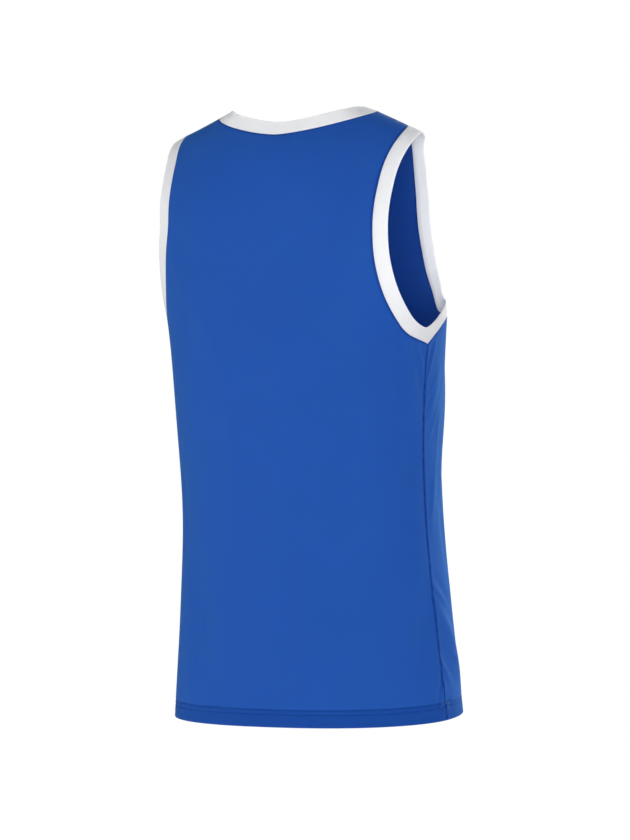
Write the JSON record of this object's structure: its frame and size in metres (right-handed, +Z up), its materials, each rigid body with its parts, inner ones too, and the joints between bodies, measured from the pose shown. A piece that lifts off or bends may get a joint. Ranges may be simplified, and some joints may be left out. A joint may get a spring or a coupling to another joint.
{
  "type": "basketball jersey",
  "caption": "Sleeveless basketball jersey, filled out as worn, with a knitted front and back, white bands round the neck and the armholes, and a stitched hem.",
  "frame": {"origin": "midway between the two shoulder seams, where the shoulders carry the jersey", "axes": "+Z up, +Y out of the back, -Y out of the front, +X to the wearer's left"},
  "size_m": [0.393, 0.284, 0.765],
  "materials": {
    "panel_knit": "smooth royal blue polyester knit with a soft satin sheen",
    "band_knit": "white folded rib knit, matte"
  },
  "bodies": {
    "root": {"back": "panel_knit", "front": "panel_knit", "neck_band": "band_knit", "armhole_band_left": "band_knit", "armhole_band_right": "band_knit"}
  },
  "joints": []
}
